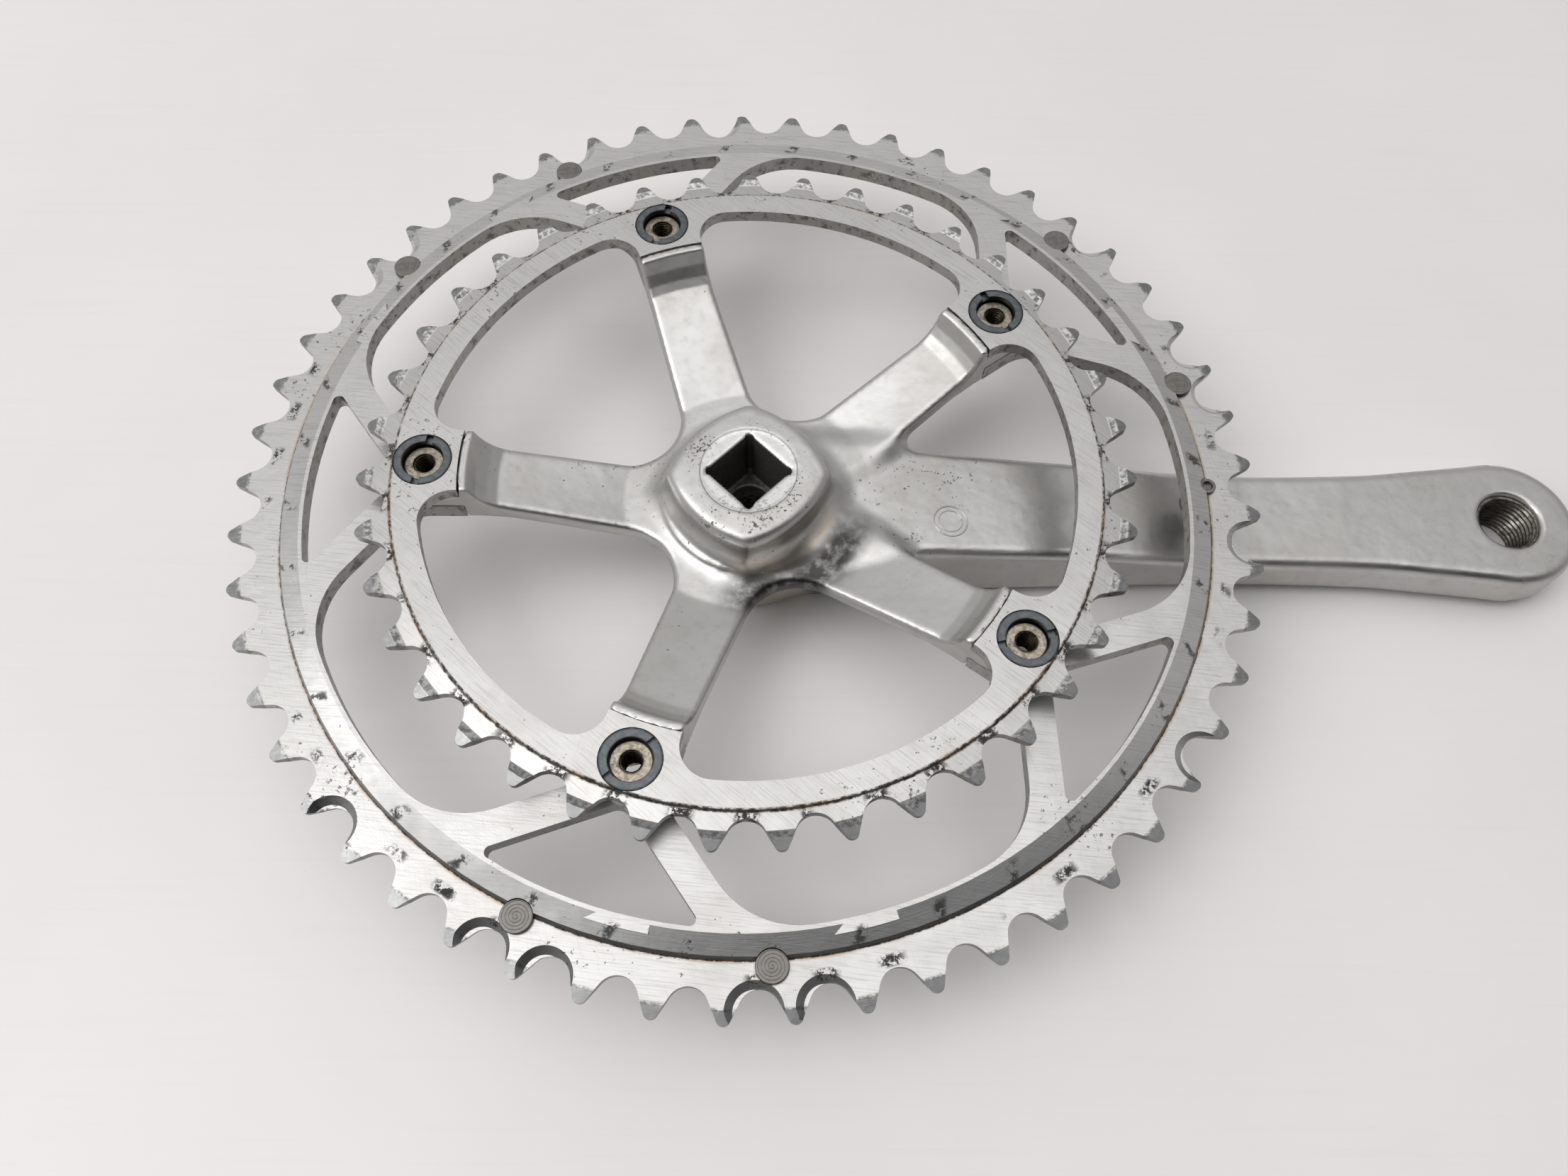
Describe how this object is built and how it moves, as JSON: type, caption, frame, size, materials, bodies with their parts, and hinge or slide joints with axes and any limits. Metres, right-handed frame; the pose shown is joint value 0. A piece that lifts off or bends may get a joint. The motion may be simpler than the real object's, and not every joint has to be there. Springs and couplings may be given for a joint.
{
  "type": "bicycle crankset",
  "caption": "Drive-side crank arm forged with a spider that carries a large and a small toothed chainring, bolted on, with shifting pins and a square taper hub",
  "frame": {"origin": "on the spindle axis, in the plane of the hub's inboard face", "axes": "+X along the crank arm to the pedal eye, +Z inboard along the spindle axis, +Y completes a right-handed frame"},
  "size_m": [0.298, 0.219, 0.0355],
  "materials": {
    "forging": "satin, polished in places",
    "ring": "turned and brushed",
    "nut": "dark grey, worn",
    "bolt": "tarnished nickel",
    "pin": "turned end",
    "stop_pin": "plain"
  },
  "bodies": {
    "root": {"crank_arm": "forging", "inner_chainring": "ring", "outer_chainring": "ring", "chain_stop_pin": "stop_pin", "chainring_nut_1": "nut", "chainring_nut_2": "nut", "chainring_nut_3": "nut", "chainring_nut_4": "nut", "chainring_nut_5": "nut", "chainring_bolt_1": "bolt", "chainring_bolt_2": "bolt", "chainring_bolt_3": "bolt", "chainring_bolt_4": "bolt", "chainring_bolt_5": "bolt", "shift_pin_1": "pin", "shift_pin_2": "pin", "shift_pin_3": "pin", "shift_pin_4": "pin", "shift_pin_5": "pin", "shift_pin_6": "pin"}
  },
  "joints": []
}
